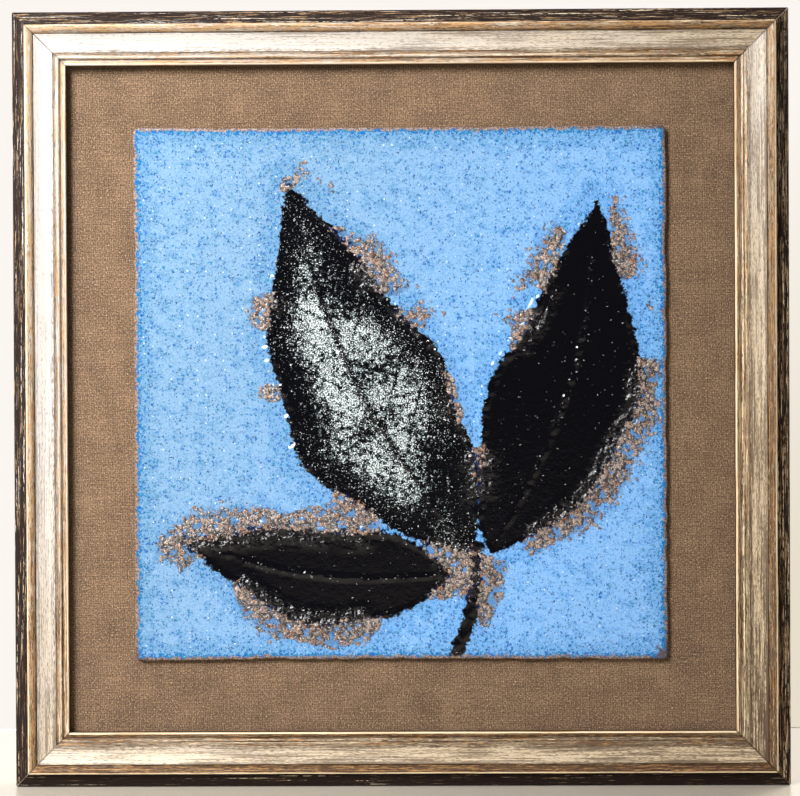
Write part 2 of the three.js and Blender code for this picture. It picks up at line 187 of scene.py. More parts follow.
class PanelColours(bpy.types.PropertyGroup):
    """Colours of the finishes."""

    silver: colour("Silver", "Champagne-silver leaf", 206, 186, 155)
    # clean silver also paints light: the leaf toward the upper left is given it to look more lit
    silver_clean_and_lit: colour("Clean silver", "Leaf where nothing is rubbed off", 204, 199, 194)
    # the brown wash also paints the shade in the quirks, in the groove and on the bead
    brown_wash_and_shade: colour("Rubbed silver", "Brown wash in the leaf's pores", 66, 46, 30)
    gold: colour("Gold", "Gold-brown of the bead and the lip", 182, 138, 90)
    brown: colour("Brown", "Brown under the gold", 80, 53, 34)
    # cream also paints the highlights along the bead's outer arris and along the lip's arris
    cream: colour("Cream", "Rubbed cream arrises", 240, 220, 186)
    fascia: colour("Fascia", "Near-black stain of the outer member", 28, 16, 11)
    fascia_light: colour("Fascia streaks", "Gold-taupe streaks in the stain", 178, 146, 110)
    raw_wood: colour("Raw wood", "Unfinished wood behind", 205, 176, 138)
    linen: colour("Linen", "Taupe facing of the board", 146, 118, 91)
    linen_dark: colour("Linen shade", "Shaded nap of the facing", 70, 54, 40)
    hardboard: colour("Hardboard", "Back of the board", 112, 78, 50)
    sky: colour("Sky blue", "Light enamel ground at the lower right", 130, 176, 225)
    # painted shade: the light blue as it turns darker toward the upper left, against the brighter light
    # there
    sky_left: colour("Sky blue at left", "The same, thinner at the upper left", 124, 157, 188)
    mid_blue: colour("Mid blue", "Deeper ground", 30, 128, 204)
    # painted shade: the mid blue as it turns darker toward the upper left, against the brighter light there
    mid_left: colour("Mid blue at left", "The same at the upper left", 38, 110, 152)
    cobalt: colour("Cobalt", "Grains of deep blue", 6, 78, 168)
    teal: colour("Teal", "Grains and rim of blue-green", 8, 116, 148)
    navy: colour("Navy", "Pin-pricks in the ground", 8, 34, 88)
    black: colour("Black", "Glossy black enamel", 4, 4, 8)
    frost: colour("Frost", "Grey-green frosting", 84, 100, 102)
    # white also paints the glints on the crust
    white: colour("White", "White grains", 214, 222, 224)
    crust: colour("Crust", "Brown crust beside the leaves", 154, 131, 112)
    crust_grey: colour("Grey crust", "Grey-brown crust", 98, 86, 74)
    crust_gold: colour("Golden crust", "Orange-brown crumbs of crust", 140, 94, 56)
    # the pit brown also paints the shade round the crumbs of crust
    crust_dark: colour("Crust pits", "Brown in the crust's pits", 34, 24, 24)
    firescale: colour("Firescale", "Bare oxide at the rim", 70, 48, 40)
    zinc: colour("Zinc", "Plated steel", 176, 178, 176)
    brass: colour("Brass", "Brass-plated hanger", 196, 164, 92)
    floor: colour("Floor", "Pale surface under the frame", 234, 226, 211)


def sizes():
    return bpy.context.scene.moulding_sizes


def sheet():
    return bpy.context.scene.sheet_sizes


def colours():
    return bpy.context.scene.panel_colours


# Numbers on grids


def lattice_noise(x, y, seed):
    """Random heights on whole numbers, blended between them by 3f^2 - 2f^3. From 0 to 1."""
    span = 256
    table = np.random.default_rng(seed).random((span, span))
    column = np.floor(x).astype(int)
    row = np.floor(y).astype(int)
    across = x - column
    up = y - row
    across = across * across * (3 - 2 * across)
    up = up * up * (3 - 2 * up)
    left = column % span
    right = (column + 1) % span
    lower = row % span
    upper = (row + 1) % span
    low = table[left, lower] * (1 - across) + table[right, lower] * across
    high = table[left, upper] * (1 - across) + table[right, upper] * across
    return low * (1 - up) + high * up


def layered_noise(x, y, seed, layers=3):
    """Sum of lattice noises, each twice as fine and half as strong as the last, scaled back to 0 to 1."""
    total = 0.0
    weight = 0.0
    for layer in range(layers):
        share = 0.5**layer
        total = total + share * lattice_noise(x * 2**layer, y * 2**layer, seed + layer)
        weight += share
    return total / weight


def smooth_step(low, high, x):
    """0 below low and 1 above high, with a soft S between. low may be the greater."""
    share = np.clip((x - low) / (high - low), 0.0, 1.0)
    return share * share * (3 - 2 * share)


def bow(start, end, rise, count):
    """A straight line from start to end plus 4 rise s (1 - s)."""
    s = np.linspace(0.0, 1.0, count)
    return np.column_stack(
        [start[0] + (end[0] - start[0]) * s, start[1] + (end[1] - start[1]) * s + 4 * rise * s * (1 - s)]
    )


def half_round(start, end, rise, count, lean=1.0):
    """Half an ellipse standing on the line from start to end, rise high. Its shares of the way are raised to
    the power lean, so its crown stands nearer the start above 1 and nearer the end below 1."""
    angle = np.linspace(0.0, math.pi, count)
    s = ((1 - np.cos(angle)) / 2) ** lean
    return np.column_stack(
        [start[0] + (end[0] - start[0]) * s, start[1] + (end[1] - start[1]) * s + rise * np.sin(angle)]
    )


# Meshes


def make_piece(name, vertices, faces, materials, face_slots=None, smooth_angle=40):
    """A mesh object at the origin from a vertex array and a list of face index arrays that face outward."""
    data = bpy.data.meshes.new(name)
    loops = np.concatenate([f.reshape(-1) for f in faces]).astype(np.int32)
    sizes_of = np.concatenate([np.full(len(f), f.shape[1], dtype=np.int32) for f in faces])
    starts = np.concatenate([[0], np.cumsum(sizes_of)[:-1]]).astype(np.int32)
    data.vertices.add(len(vertices))
    data.vertices.foreach_set("co", np.asarray(vertices, dtype=np.float32).reshape(-1))
    data.loops.add(len(loops))
    data.loops.foreach_set("vertex_index", loops)
    data.polygons.add(len(sizes_of))
    data.polygons.foreach_set("loop_start", starts)
    for material in materials:
        data.materials.append(material)
    if face_slots is not None:
        data.polygons.foreach_set("material_index", face_slots.astype(np.int32))
    data.update(calc_edges=True)
    data.validate()
    data.polygons.foreach_set("use_smooth", np.ones(len(data.polygons), dtype=bool))
    data.set_sharp_from_angle(angle=math.radians(smooth_angle))
    piece = bpy.data.objects.new(name, data)
    bpy.context.scene.collection.objects.link(piece)
    return piece


def add_values(piece, name, values):
    """One number for each vertex, for the shader to read by name."""
    layer = piece.data.attributes.new(name, "FLOAT", "POINT")
    layer.data.foreach_set("value", np.asarray(values, dtype=np.float32).reshape(-1))


def add_uv(piece, along, across):
    """A UV map in metres from two numbers for each vertex."""
    layer = piece.data.uv_layers.new(name="grain")
    corners = np.empty(len(piece.data.loops), dtype=np.int32)
    piece.data.loops.foreach_get("vertex_index", corners)
    pairs = np.column_stack([along.reshape(-1)[corners], across.reshape(-1)[corners]])
    layer.data.foreach_set("uv", pairs.astype(np.float32).reshape(-1))


def grid_faces(rows, columns):
    """Quads of a grid of rows by columns points, turned so that row x column points outward."""
    index = np.arange(rows * columns).reshape(rows, columns)
    return np.stack([index[:-1, :-1], index[1:, :-1], index[1:, 1:], index[:-1, 1:]], axis=-1).reshape(-1, 4)


def border(grid):
    """The points or numbers on a grid's border, anticlockwise seen from the front."""
    return np.concatenate([grid[:-1, 0], grid[-1, :-1], grid[:0:-1, -1], grid[0, :0:-1]])


def slab(grid, wall_rings):
    """A front surface on a grid, walls down through the given rings, which go round its border, and a flat
    back. Returns vertices, faces and each face's part: 0 front, 1 wall, 2 back."""
    rows, columns, _ = grid.shape
    vertices = [grid.reshape(-1, 3)]
    faces = [grid_faces(rows, columns)]
    ring = border(np.arange(rows * columns).reshape(rows, columns))
    count = rows * columns
    for points in wall_rings:
        below = count + np.arange(len(points))
        count += len(points)
        vertices.append(points)
        faces.append(np.stack([ring, below, np.roll(below, -1), np.roll(ring, -1)], axis=-1))
        ring = below
    faces.append(ring[::-1].reshape(1, -1))
    parts = [0] + [1] * len(wall_rings) + [2]
    slots = np.concatenate([np.full(len(f), part) for f, part in zip(faces, parts)])
    return np.concatenate(vertices), faces, slots


# Shader sums


def both_ways(operation):
    """A Math node with a channel on its left, and the reflected form with a channel on its right."""

    def straight(self, other):
        return self.math(operation, self, other)

    def reflected(self, other):
        return self.math(operation, other, self)

    return straight, reflected


class Channel:
    """One output of a shader node. Sums written on it become Math nodes."""

    def __init__(self, finish, socket):
        self.finish = finish
        self.socket = socket

    def math(self, operation, *values):
        return self.finish.node("ShaderNodeMath", {"operation": operation}, dict(enumerate(values)))

    def beside(self, output):
        """Another output of the same node."""
        return Channel(self.finish, self.socket.node.outputs[output])

    __add__, __radd__ = both_ways("ADD")
    __sub__, __rsub__ = both_ways("SUBTRACT")
    __mul__, __rmul__ = both_ways("MULTIPLY")
    __truediv__, __rtruediv__ = both_ways("DIVIDE")
    __lt__, __gt__ = both_ways("LESS_THAN")

    def most(self, other):
        return self.math("MAXIMUM", self, other)

    def least(self, other):
        return self.math("MINIMUM", self, other)

    def size(self):
        return self.math("ABSOLUTE", self)

    def sine(self):
        return self.math("SINE", self)


class Finish:
    """A material or a world in the making, owners being where it is kept. node() makes every node."""

    def __init__(self, name, owners="materials", **constants):
        self.owner = getattr(bpy.data, owners).new(name)
        self.owner.use_nodes = True
        self.tree = self.owner.node_tree
        self.tree.nodes.clear()
        self.constants = constants

    def node(self, kind, settings=None, inputs=None, output=0):
        """A node of the given kind: its settings are made first, then its sockets take values or links."""
        made = self.tree.nodes.new(kind)
        for key, value in (settings or {}).items():
            setattr(made, key, value)
        for key, value in (inputs or {}).items():
            if isinstance(value, Channel):
                self.tree.links.new(value.socket, made.inputs[key])
            else:
                made.inputs[key].default_value = value
        return Channel(self, made.outputs[output]) if made.outputs else None

    def place(self):
        """Object coordinates in millimetres."""
        where = self.node("ShaderNodeTexCoord", output="Object")
        return self.node("ShaderNodeVectorMath", {"operation": "SCALE"}, {0: where, "Scale": 1 / MM})

    def parts(self, vector):
        """The three numbers of a vector."""
        first = self.node("ShaderNodeSeparateXYZ", inputs={0: vector})
        return first, first.beside(1), first.beside(2)

    def join(self, x, y, z=0.0):
        return self.node("ShaderNodeCombineXYZ", inputs={0: x, 1: y, 2: z})

    def noise(self, vector, scale, detail=2.0, roughness=0.5):
        return self.node(
            "ShaderNodeTexNoise",
            inputs={"Vector": vector, "Scale": scale, "Detail": detail, "Roughness": roughness},
        )

    def grain(self, x, y, x_rate, y_rate, layer=0.0, detail=2.0, roughness=0.6):
        """Noise in long cells: the rates are about how many of them there are to the millimetre."""
        return self.noise(self.join(x * x_rate, y * y_rate, layer), 1.0, detail, roughness)

    def ramp(self, x, low, high, first, last, shape="LINEAR"):
        """The number first where x is below low and last where it is above high, with a slope between."""
        return self.node(
            "ShaderNodeMapRange", {"interpolation_type": shape}, {0: x, 1: low, 2: high, 3: first, 4: last}
        )

    def step(self, x, low, high):
        """0 below low and 1 above high, with a soft S between."""
        return self.ramp(x, low, high, 0.0, 1.0, "SMOOTHSTEP")

    def cells(self, vector, scale):
        """Random cells: the distance to the nearest seed in cells, and two random numbers of that cell."""
        distance = self.node(
            "ShaderNodeTexVoronoi",
            {"voronoi_dimensions": "2D"},
            {"Vector": vector, "Scale": scale},
            output="Distance",
        )
        first = self.node("ShaderNodeSeparateColor", inputs={0: distance.beside("Color")})
        return distance, first, first.beside(1)

    def grains(self, vector, scale, keep, radius):
        """Round grains in random cells: the share keep of the cells has one, up to radius cells in size."""
        distance, chance, width = self.cells(vector, scale)
        reach = (width * 0.6 + 0.4) * radius
        return self.step(distance / reach, 1.0, 0.6) * (chance < keep), width

    def mix(self, factor, first, second):
        """Colour first where factor is 0, second where it is 1."""
        return self.node(
            "ShaderNodeMix",
            {"data_type": "RGBA"},
            {0: factor, 6: solid(first), 7: solid(second)},
            output=2,
        )

    def attribute(self, name):
        return self.node("ShaderNodeAttribute", {"attribute_name": name}, output="Fac")

    def bump(self, height, distance, strength=1.0):
        inputs = {"Height": height, "Distance": distance, "Strength": strength}
        return self.node("ShaderNodeBump", inputs=inputs)

    def finish(self, **sockets):
        """Ends the material with its shader, whose sockets take the constants, channels and colours."""
        values = {**self.constants, **sockets}
        inputs = {key.replace("_", " "): solid(value) for key, value in values.items()}
        shader = self.node("ShaderNodeBsdfPrincipled", inputs=inputs)
        self.node("ShaderNodeOutputMaterial", inputs={"Surface": shader})
        return self.owner


def solid(value):
    """A colour with its alpha, or a channel or number as it is."""
    if isinstance(value, (Channel, float, int)):
        return value
    return (*tuple(value)[:3], 1.0)


# Moulding


def members():
    """How far in from the rail's outer edge each member ends, outermost first."""
    m = sizes()
    widths = (m.fascia, m.bead, m.quirk, m.flat, m.inner_quirk, m.inner_bead, m.groove, m.lip)
    return np.cumsum(widths).tolist()


def moulding_section():
    """Ring of the rail's section: distance in from the outer edge, height over the back, and the distance
    that a finisher's brush goes, from below zero on the outer side to past the width on the inner side.
    Members are bows (a line plus a parabola) and half rounds (half ellipses, whose crowns may lean), each
    with its count of points. The inner quirk is a soft cove."""
    m = sizes()
    fascia_in, bead_in, flat_out, flat_in, inner_bead_out, inner_bead_in, lip_out, width = members()
    lip_top = m.rebate_depth + m.lip_depth
    flat_low = lip_top + m.flat_step
    flat_high = flat_low + m.flat_fall
    bead_top = flat_high + m.bead_rise
    fascia_high = bead_top - m.bead_step
    fascia_low = fascia_high - m.fascia_fall
    bead_base = flat_high - m.quirk_depth
    quirk_floor = lip_top - m.inner_quirk_depth
    lip_base = lip_top - m.lip_round
    back = width - m.rebate_width

    corner = np.linspace(0.0, math.pi / 2, 7)
    outer_arc = np.column_stack(
        [m.outer_round * (1 - np.cos(corner)), fascia_low - m.outer_round * (1 - np.sin(corner))]
    )
    side = bow((0.0, 0.0), tuple(outer_arc[0]), 0.0, 10)[:-1]
    face = np.concatenate([
        outer_arc[:-1],
        bow((m.outer_round, fascia_low), (fascia_in, fascia_high), m.fascia_swell, 20),
        half_round((fascia_in, bead_base), (bead_in, bead_base), bead_top - bead_base, 20, m.bead_lean),
        bow((flat_out, flat_high), (flat_in, flat_low), -m.flat_hollow, 26),
        bow((flat_in, flat_low), (inner_bead_out, quirk_floor), -m.inner_quirk_hollow, 7)[1:],
        half_round((inner_bead_out, quirk_floor), (inner_bead_in, lip_base), m.inner_bead_rise, 9)[1:],
        bow((inner_bead_in, lip_base), (lip_out, lip_base), -m.groove_hollow, 5)[1:],
        half_round((lip_out, lip_base), (width, lip_base), m.lip_round, 12, m.lip_lean)[1:],
    ])
    inner_wall = bow((width, lip_base), (width, m.rebate_depth), 0.0, 8)[1:]
    hidden = np.array([[back, m.rebate_depth], [back, 0.0]])
    ring = np.concatenate([side, face, inner_wall, hidden])
    brush = np.concatenate([
        side[:, 1] - fascia_low,
        face[:, 0],
        width + (lip_base - inner_wall[:, 1]),
        np.full(len(hidden), width + lip_base),
    ])
    raw_from = len(ring) - len(hidden) - 1
    return ring, brush, raw_from


def section_normals(ring):
    """Outward normal at each point of a clockwise ring: the left-hand side of the run from its last point to
    its next."""
    run = np.roll(ring, -1, axis=0) - np.roll(ring, 1, axis=0)
    run /= np.linalg.norm(run, axis=1, keepdims=True)
    return np.column_stack([-run[:, 1], run[:, 0]])


def build_rail(side, quarter, finishes):
    """One mitred rail: the section carried along x, its ends cut where x is half the run less the distance
    in from the edge. The face sinks by open grain, which is noise stretched along the rail, then the rail is
    turned a number of quarters about the frame's centre."""
    m = sizes()
    ring, brush, raw_from = moulding_section()
    stations = 280
    share = np.linspace(-1.0, 1.0, stations)[:, None]
    to_mitre = RAIL_RUN / 2 - ring[None, :, 0]
    along = share * (to_mitre - m.mitre_gap / 2 * math.sqrt(2))
    across = np.broadcast_to(brush, along.shape)
    seed = 40 + 10 * quarter
    stretch = layered_noise(along / (16 * MM), across / (0.42 * MM) + 90, seed)
    broad = layered_noise(along / (45 * MM), across / (2.2 * MM) + 50, seed + 5)
    pores = smooth_step(0.5, 0.72, stretch)
    dark = smooth_step(m.fascia + 0.1 * MM, m.fascia - 0.1 * MM, across)
    on_face = smooth_step(0.0, 0.4 * MM, across) * smooth_step(RAIL_WIDTH + 1 * MM, RAIL_WIDTH, across)
    fascia_sink = dark * m.grain_depth * (pores + 0.4 * broad)
    leaf_sink = (1 - dark) * m.leaf_wear * (pores + broad)
    normal = section_normals(ring)
    inward = ring[None] - normal[None] * (on_face * (fascia_sink + leaf_sink))[..., None]
    local = np.stack([along, -inward[..., 1], inward[..., 0] - RAIL_RUN / 2], axis=-1)
    turn = np.array(Matrix.Rotation(quarter * math.pi / 2, 3, "Y"))
    points = local.reshape(-1, 3) @ turn.T + np.array(FRAME_CENTRE)

    count = len(ring)
    index = np.arange(stations * count).reshape(stations, count)
    ahead = np.roll(index, -1, axis=1)
    skin = np.stack([index[:-1], index[1:], ahead[1:], ahead[:-1]], axis=-1)
    faces = [skin.reshape(-1, 4), index[:1], index[-1:, ::-1]]
    slots = np.zeros((stations - 1, count), dtype=int)
    slots[:, raw_from:] = 1
    slots = np.concatenate([slots.reshape(-1), [1, 1]])
    rail = make_piece(f"moulding_{side}", points, faces, finishes, slots, smooth_angle=38)
    own_stretch = 0.4
    add_uv(rail, along + quarter * own_stretch, across)
    looks = RAIL_LOOKS[side]
    for name in ("streaks", "crest_highlight", "bead_shade"):
        add_values(rail, name, np.full(along.size, looks[name]))
    first, last = looks["wear_and_light"]
    add_values(rail, "wear_and_light", np.broadcast_to(first + (last - first) * (share + 1) / 2, along.shape))
    add_values(rail, "joint", (1 - np.abs(share)) * to_mitre / MM)
    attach(rail, "root")
    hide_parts(f"frame_{side}")
    return rail


def moulding_finish():
    """Stain, gold and silver leaf by members across the rail, scuffed and streaked along it. Most of the
    scuffing follows the wear that each rail carries, and so does painted light: the leaf is painted whiter
    toward the upper left and browner and darker toward the lower right. The quirks and the groove get
    painted shade, and the bead's outer arris and the lip's arris get painted highlights."""
    c = colours()
    f = Finish("moulding_leaf", IOR=1.5, Specular_IOR_Level=0.2)
    along, across, _ = f.parts(f.node("ShaderNodeUVMap", {"uv_map": "grain"}))
    wear_and_light = f.attribute("wear_and_light")
    streaks = f.attribute("streaks")
    bead_shade = f.attribute("bead_shade")
    crest_highlight = f.attribute("crest_highlight")
    u = along / MM
    v = across / MM
    dash = f.grain(u, v, 0.36, 2.8, 7.0)
    fine = f.grain(u, v, 0.12, 4.2, 0.0, 3.0, 0.7)
    line = f.grain(u, v, 0.022, 2.3, 3.0)
    broad = f.grain(u, v, 0.03, 1.3, 15.0)
    speck = f.grain(u, v, 0.5, 3.6, 11.0, 1.0, 0.5)
    cloud = f.grain(u, v, 0.03, 0.16, 5.0, 2.0, 0.5)
    thread = f.grain(u, v, 0.06, 3.1, 21.0)
    edge = v + (fine - 0.5) * 0.5 + (line - 0.5) * 0.6
    ends = [end / MM for end in members()]
    fascia_in, bead_in, flat_out, flat_in, _, inner_bead_in, lip_out, width = ends

    def band(low, high, soft=0.12):
        return f.step(edge, low - soft, low + soft) * f.step(edge, high + soft, high - soft)

    # silver leaf with a brown wash in its pores, thickest beside the quirks; the wash and the whiter clean
    # leaf follow the rail's wear, which also paints light: whiter toward the upper left, darker toward the
    # lower right
    crowd = f.step(v, flat_out + 1.4, flat_out).most(f.step(v, flat_in - 2.2, flat_in))
    rubbing_and_shade = (wear_and_light - 0.5) * 0.14 + (cloud - 0.5) * 0.3 + (broad - 0.5) * 0.35 + crowd * 0.08
    wash = f.step(dash + (line - 0.5) * 0.45 + rubbing_and_shade, 0.56, 0.63)
    lines = f.step(line * 0.3 + thread * 0.7 + (fine - 0.5) * 0.3 + rubbing_and_shade, 0.57, 0.64)
    pores = f.step(speck + (line - 0.5) * 0.3 + rubbing_and_shade, 0.58, 0.65)
    worn_and_shaded = (wash * 0.4).most(lines * 0.82).most(pores * 0.7) * (wear_and_light * 0.6 + 0.4)
    leaf = f.mix(f.step(wear_and_light + (broad - 0.5) * 0.6, 0.3, 1.05), c.silver_clean_and_lit, c.silver)
    leaf = f.mix(f.step(fine + (line - 0.5) * 0.5, 0.55, 0.68) * 0.6, leaf, c.silver_clean_and_lit)
    silver = f.mix(worn_and_shaded, leaf, c.brown_wash_and_shade)

    # gold-brown members, painted paler toward silver where the wear is low, toward the upper left, as
    # painted light
    gold = f.mix(f.step(wear_and_light, 0.9, 0.1) * 0.45, c.gold, c.silver)
    gilt = f.mix(f.step(fine * 0.5 + thread * 0.5 + (wear_and_light - 0.5) * 0.08, 0.49, 0.55), gold, c.brown)
    dull = f.step(line * 0.5 + thread * 0.5 + (dash - 0.5) * 0.7 + (wear_and_light - 0.5) * 0.1, 0.5, 0.56)
    gilt = f.mix(dull * 0.8, gilt, c.brown_wash_and_shade)
    clean = fine * 0.3 + thread * 0.5 + broad * 0.2 + (dash - 0.5) * 0.3
    # painted shade on the bead: each rail's number above zero thins its pale streaks and darkens it toward
    # brown, and below zero makes it paler; the bottom bead is painted darkest
    paled = f.step(clean - bead_shade * 0.06, 0.522, 0.55)
    pale = f.mix(f.step(wear_and_light, 0.3, 0.9), c.silver_clean_and_lit, c.cream)
    gilt = f.mix(paled * 0.85, gilt, pale)
    gilt = f.mix(bead_shade.most(0.0) * f.step((fine + dash) * 0.5, 0.38, 0.54), gilt, c.brown_wash_and_shade)

    # dark stain with gold-taupe streaks
    streak = f.step(fine * 0.45 + thread * 0.55 + (dash - 0.5) * 0.2 + streaks, 0.525, 0.56)
    stain = f.mix(streak, c.fascia, c.fascia_light)
    stain = f.mix(f.step(dash + (fine - 0.5) * 0.5, 0.54, 0.62) * 0.8, stain, c.fascia)
    rare = f.step(line + (fine - 0.5) * 0.3 + streaks, 0.57, 0.61) * f.step(dash, 0.46, 0.52)
    stain = f.mix(rare * 0.85, stain, pale)

    # the members side by side, with painted shade on the bead's inner side, in the quirks and in the groove,
    # and painted highlights along the bead's outer arris and the lip's arris
    tone = f.mix(band(fascia_in, bead_in), stain, gilt)
    shadowed = f.step(fine * 0.4 + thread * 0.6, 0.46, 0.52) * f.step(wear_and_light, 0.4, 1.0)
    tone = f.mix(band(fascia_in + 0.8, bead_in, 0.3) * shadowed * 0.9, tone, c.brown_wash_and_shade)
    # painted highlight: a broken cream band along the bead's outer arris, as strong as each rail's number
    # for it, strongest on the bottom and right rails
    lit_crest = crest_highlight * f.step((dash + thread) * 0.5 + (crest_highlight - 0.5) * 0.1, 0.4, 0.5)
    highlight_tone = f.mix(wear_and_light, pale, c.cream)
    tone = f.mix(band(fascia_in + 0.05, fascia_in + 0.7) * lit_crest, tone, highlight_tone)
    # painted shade in the quirk beside the bead
    tone = f.mix(band(bead_in - 0.2, flat_out, 0.15) * f.step(fine, 0.45, 0.58) * 0.4, tone, c.brown_wash_and_shade)
    tone = f.mix(band(flat_out - 0.2, flat_in, 0.2), tone, silver)
    blend = broad + (dash - 0.5) * 0.7 + (thread - 0.5) * 0.5 + f.step(wear_and_light, 0.9, 1.25) * 0.12
    mixed = f.step(blend, 0.38, 0.5)
    inner = f.mix(mixed * 0.85, gilt, f.mix(paled, silver, pale))
    tone = f.mix(f.step(edge, flat_in - 0.1, flat_in + 0.1), tone, inner)
    # brown smudges with painted shade in the inner quirk and on the lip, heavier where the wear is high,
    # toward the lower right
    middling = 0.5 - (wear_and_light - 0.5).size()
    smudge_and_shade_level = (fine + dash) * 0.5 + middling * 0.04 + f.step(wear_and_light, 0.7, 1.1) * 0.06
    smudge_and_shade = f.step(smudge_and_shade_level, 0.51, 0.59)
    tone = f.mix(band(flat_in - 0.9, flat_in + 1.2, 0.5) * smudge_and_shade * 0.75, tone, c.brown_wash_and_shade)
    # painted shade in the groove outside the lip
    tone = f.mix(band(inner_bead_in, lip_out + 0.1, 0.1) * f.step(dash, 0.36, 0.5) * 0.6, tone, c.brown_wash_and_shade)
    gilded = f.step(dash + (broad - 0.5) * 0.6, 0.36, 0.5)
    tone = f.mix(band(lip_out, width - 0.5, 0.2) * gilded * 0.9, tone, gilt)
    tone = f.mix(band(lip_out + 0.2, width - 0.7, 0.2) * smudge_and_shade * 0.6, tone, c.brown)
    # painted highlight along the lip's arris at the opening
    lip_highlight = f.mix(f.step(line + (wear_and_light - 0.5) * 0.1, 0.57, 0.65), highlight_tone, c.gold)
    tone = f.mix(f.step(v, width - 0.6, width - 0.5), tone, lip_highlight)
    tone = f.mix(f.step(v, width + 0.1, width + 0.4), tone, c.brown)

    seam = f.step(f.attribute("joint") + (dash - 0.5) * 0.6, 0.32, 0.12)
    tone = f.mix(seam * (wear_and_light * 0.5 + 0.35), tone, c.brown_wash_and_shade)

    on_leaf = f.step(edge, fascia_in - 0.1, fascia_in + 0.1)
    metal = on_leaf * 0.2 * (1 - worn_and_shaded)
    shine = 0.6 - on_leaf * 0.2 + worn_and_shaded * 0.25 + (fine - 0.5) * 0.3
    bumps = f.bump(fine * 0.5 + dash * 0.3 + line * 0.2, 0.14 * MM, 0.8)
    return f.finish(Base_Color=tone, Metallic=metal, Roughness=shine, Normal=bumps)


def raw_wood_finish():
    """Planed light wood: long grain lines in x or z by noise, paler and darker bands."""
    wood = colours().raw_wood
    f = Finish("raw_wood", Roughness=0.75)
    along, _, _ = f.parts(f.node("ShaderNodeUVMap", {"uv_map": "grain"}))
    x, y, z = f.parts(f.place())
    depth = x.size().most((z - FRAME_CENTRE.z / MM).size())
    grain = f.noise(f.join(along * 8.0, depth * 1.1, y * 1.1), 1.0, 4.0, 0.6)
    tone = f.mix(f.step(grain, 0.4, 0.62), dimmed(wood, 0.6), wood)
    return f.finish(Base_Color=tone, Normal=f.bump(grain, 0.15 * MM, 0.6))


class ENAMEL_OT_moulding(bpy.types.Operator):
    """Build the four mitred rails of the moulding"""

    bl_idname = "enamel.moulding"
    bl_label = "Moulding"

    def execute(self, context):
        finishes = [moulding_finish(), raw_wood_finish()]
        for quarter, side in enumerate(RAIL_LOOKS):
            build_rail(side, quarter, finishes)
        return {"FINISHED"}


# Board


def linen_finish():
    """Napped taupe cloth: crossed threads under a millimetre apart, wandering a little, with uneven fibres,
    shaded hollows and a soft blotch."""
    c = colours()
    f = Finish("linen_facing", Sheen_Weight=0.2, Sheen_Roughness=0.5, IOR=1.4)
    x, _, z = f.parts(f.place())
    flat = f.join(x, z)
    drift = f.noise(flat, 0.12, 2.0, 0.5)
    pitch = 0.86
    turn = 2 * math.pi / pitch
    warp = (x * turn + (drift - 0.5) * 9.0).sine()
    weft = (z * turn + (drift - 0.5) * 7.0).sine()
    upright = f.grain(x, z, 3.0, 1.1, 1.0)
    level = f.grain(x, z, 1.1, 3.0, 9.0)
    nap = f.noise(flat, 1.9, 3.0, 0.75)
    blot = f.noise(f.join(x, z, 4.0), 0.1, 3.0, 0.6)
    ribs = f.grain(x, z, 1.5, 0.06, 6.0, 1.0, 0.5) + f.grain(x, z, 0.06, 1.5, 8.0, 1.0, 0.5)
    threads = warp * 0.055 + weft * 0.045 + (ribs - 1.0) * 0.2
    height = 0.5 + threads + (upright - 0.5) * 0.9 + (level - 0.5) * 0.4 + (nap - 0.5) * 1.5
    shade = f.step(height + (blot - 0.5) * 0.3, 0.84, 0.24)
    tone = f.mix(shade, c.linen, c.linen_dark)
    fibre = f.step(nap + (upright - 0.5) * 0.6, 0.62, 0.76)
    tone = f.mix(fibre * 0.5, tone, c.cream)
    return f.finish(Base_Color=tone, Roughness=0.9 - fibre * 0.3, Normal=f.bump(height, 0.22 * MM, 0.8))


def hardboard_finish():
    """Brown hardboard: fine felted fibres."""
    brown = colours().hardboard
    f = Finish("hardboard", Roughness=0.7)
    x, _, z = f.parts(f.place())
    fibre = f.noise(f.join(x, z), 0.9, 5.0, 0.7)
    blot = f.noise(f.join(x, z, 3.0), 0.03, 2.0, 0.5)
    tone = f.mix(f.step(fibre + (blot - 0.5) * 0.6, 0.35, 0.65), dimmed(brown, 0.5), brown)
    return f.finish(Base_Color=tone, Normal=f.bump(fibre, 0.2 * MM, 0.6))


def build_board():
    """The board: a front grid that sinks by noise at the thread's pitch, straight walls and a flat back."""
    low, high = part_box("mount_board")
    count = 300
    x, z = np.meshgrid(np.linspace(low.x, high.x, count), np.linspace(low.z, high.z, count), indexing="ij")
    relief = layered_noise(x / (1.9 * MM), z / (1.9 * MM), 11, 2)
    y = low.y + sheet().linen_relief * relief
    grid = np.stack([x, y, z], axis=-1)
    back = border(grid)
    back[:, 1] = high.y
    vertices, faces, slots = slab(grid, [back])
    finishes = [linen_finish(), hardboard_finish()]
    piece = make_piece("linen_board", vertices, faces, finishes, (slots > 0).astype(int))
    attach(piece, "root")
    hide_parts("mount_board")
    return piece


class ENAMEL_OT_board(bpy.types.Operator):
    """Build the linen-faced board"""

    bl_idname = "enamel.board"
    bl_label = "Linen board"

    def execute(self, context):
        build_board()
        return {"FINISHED"}


# Enamelled sheet


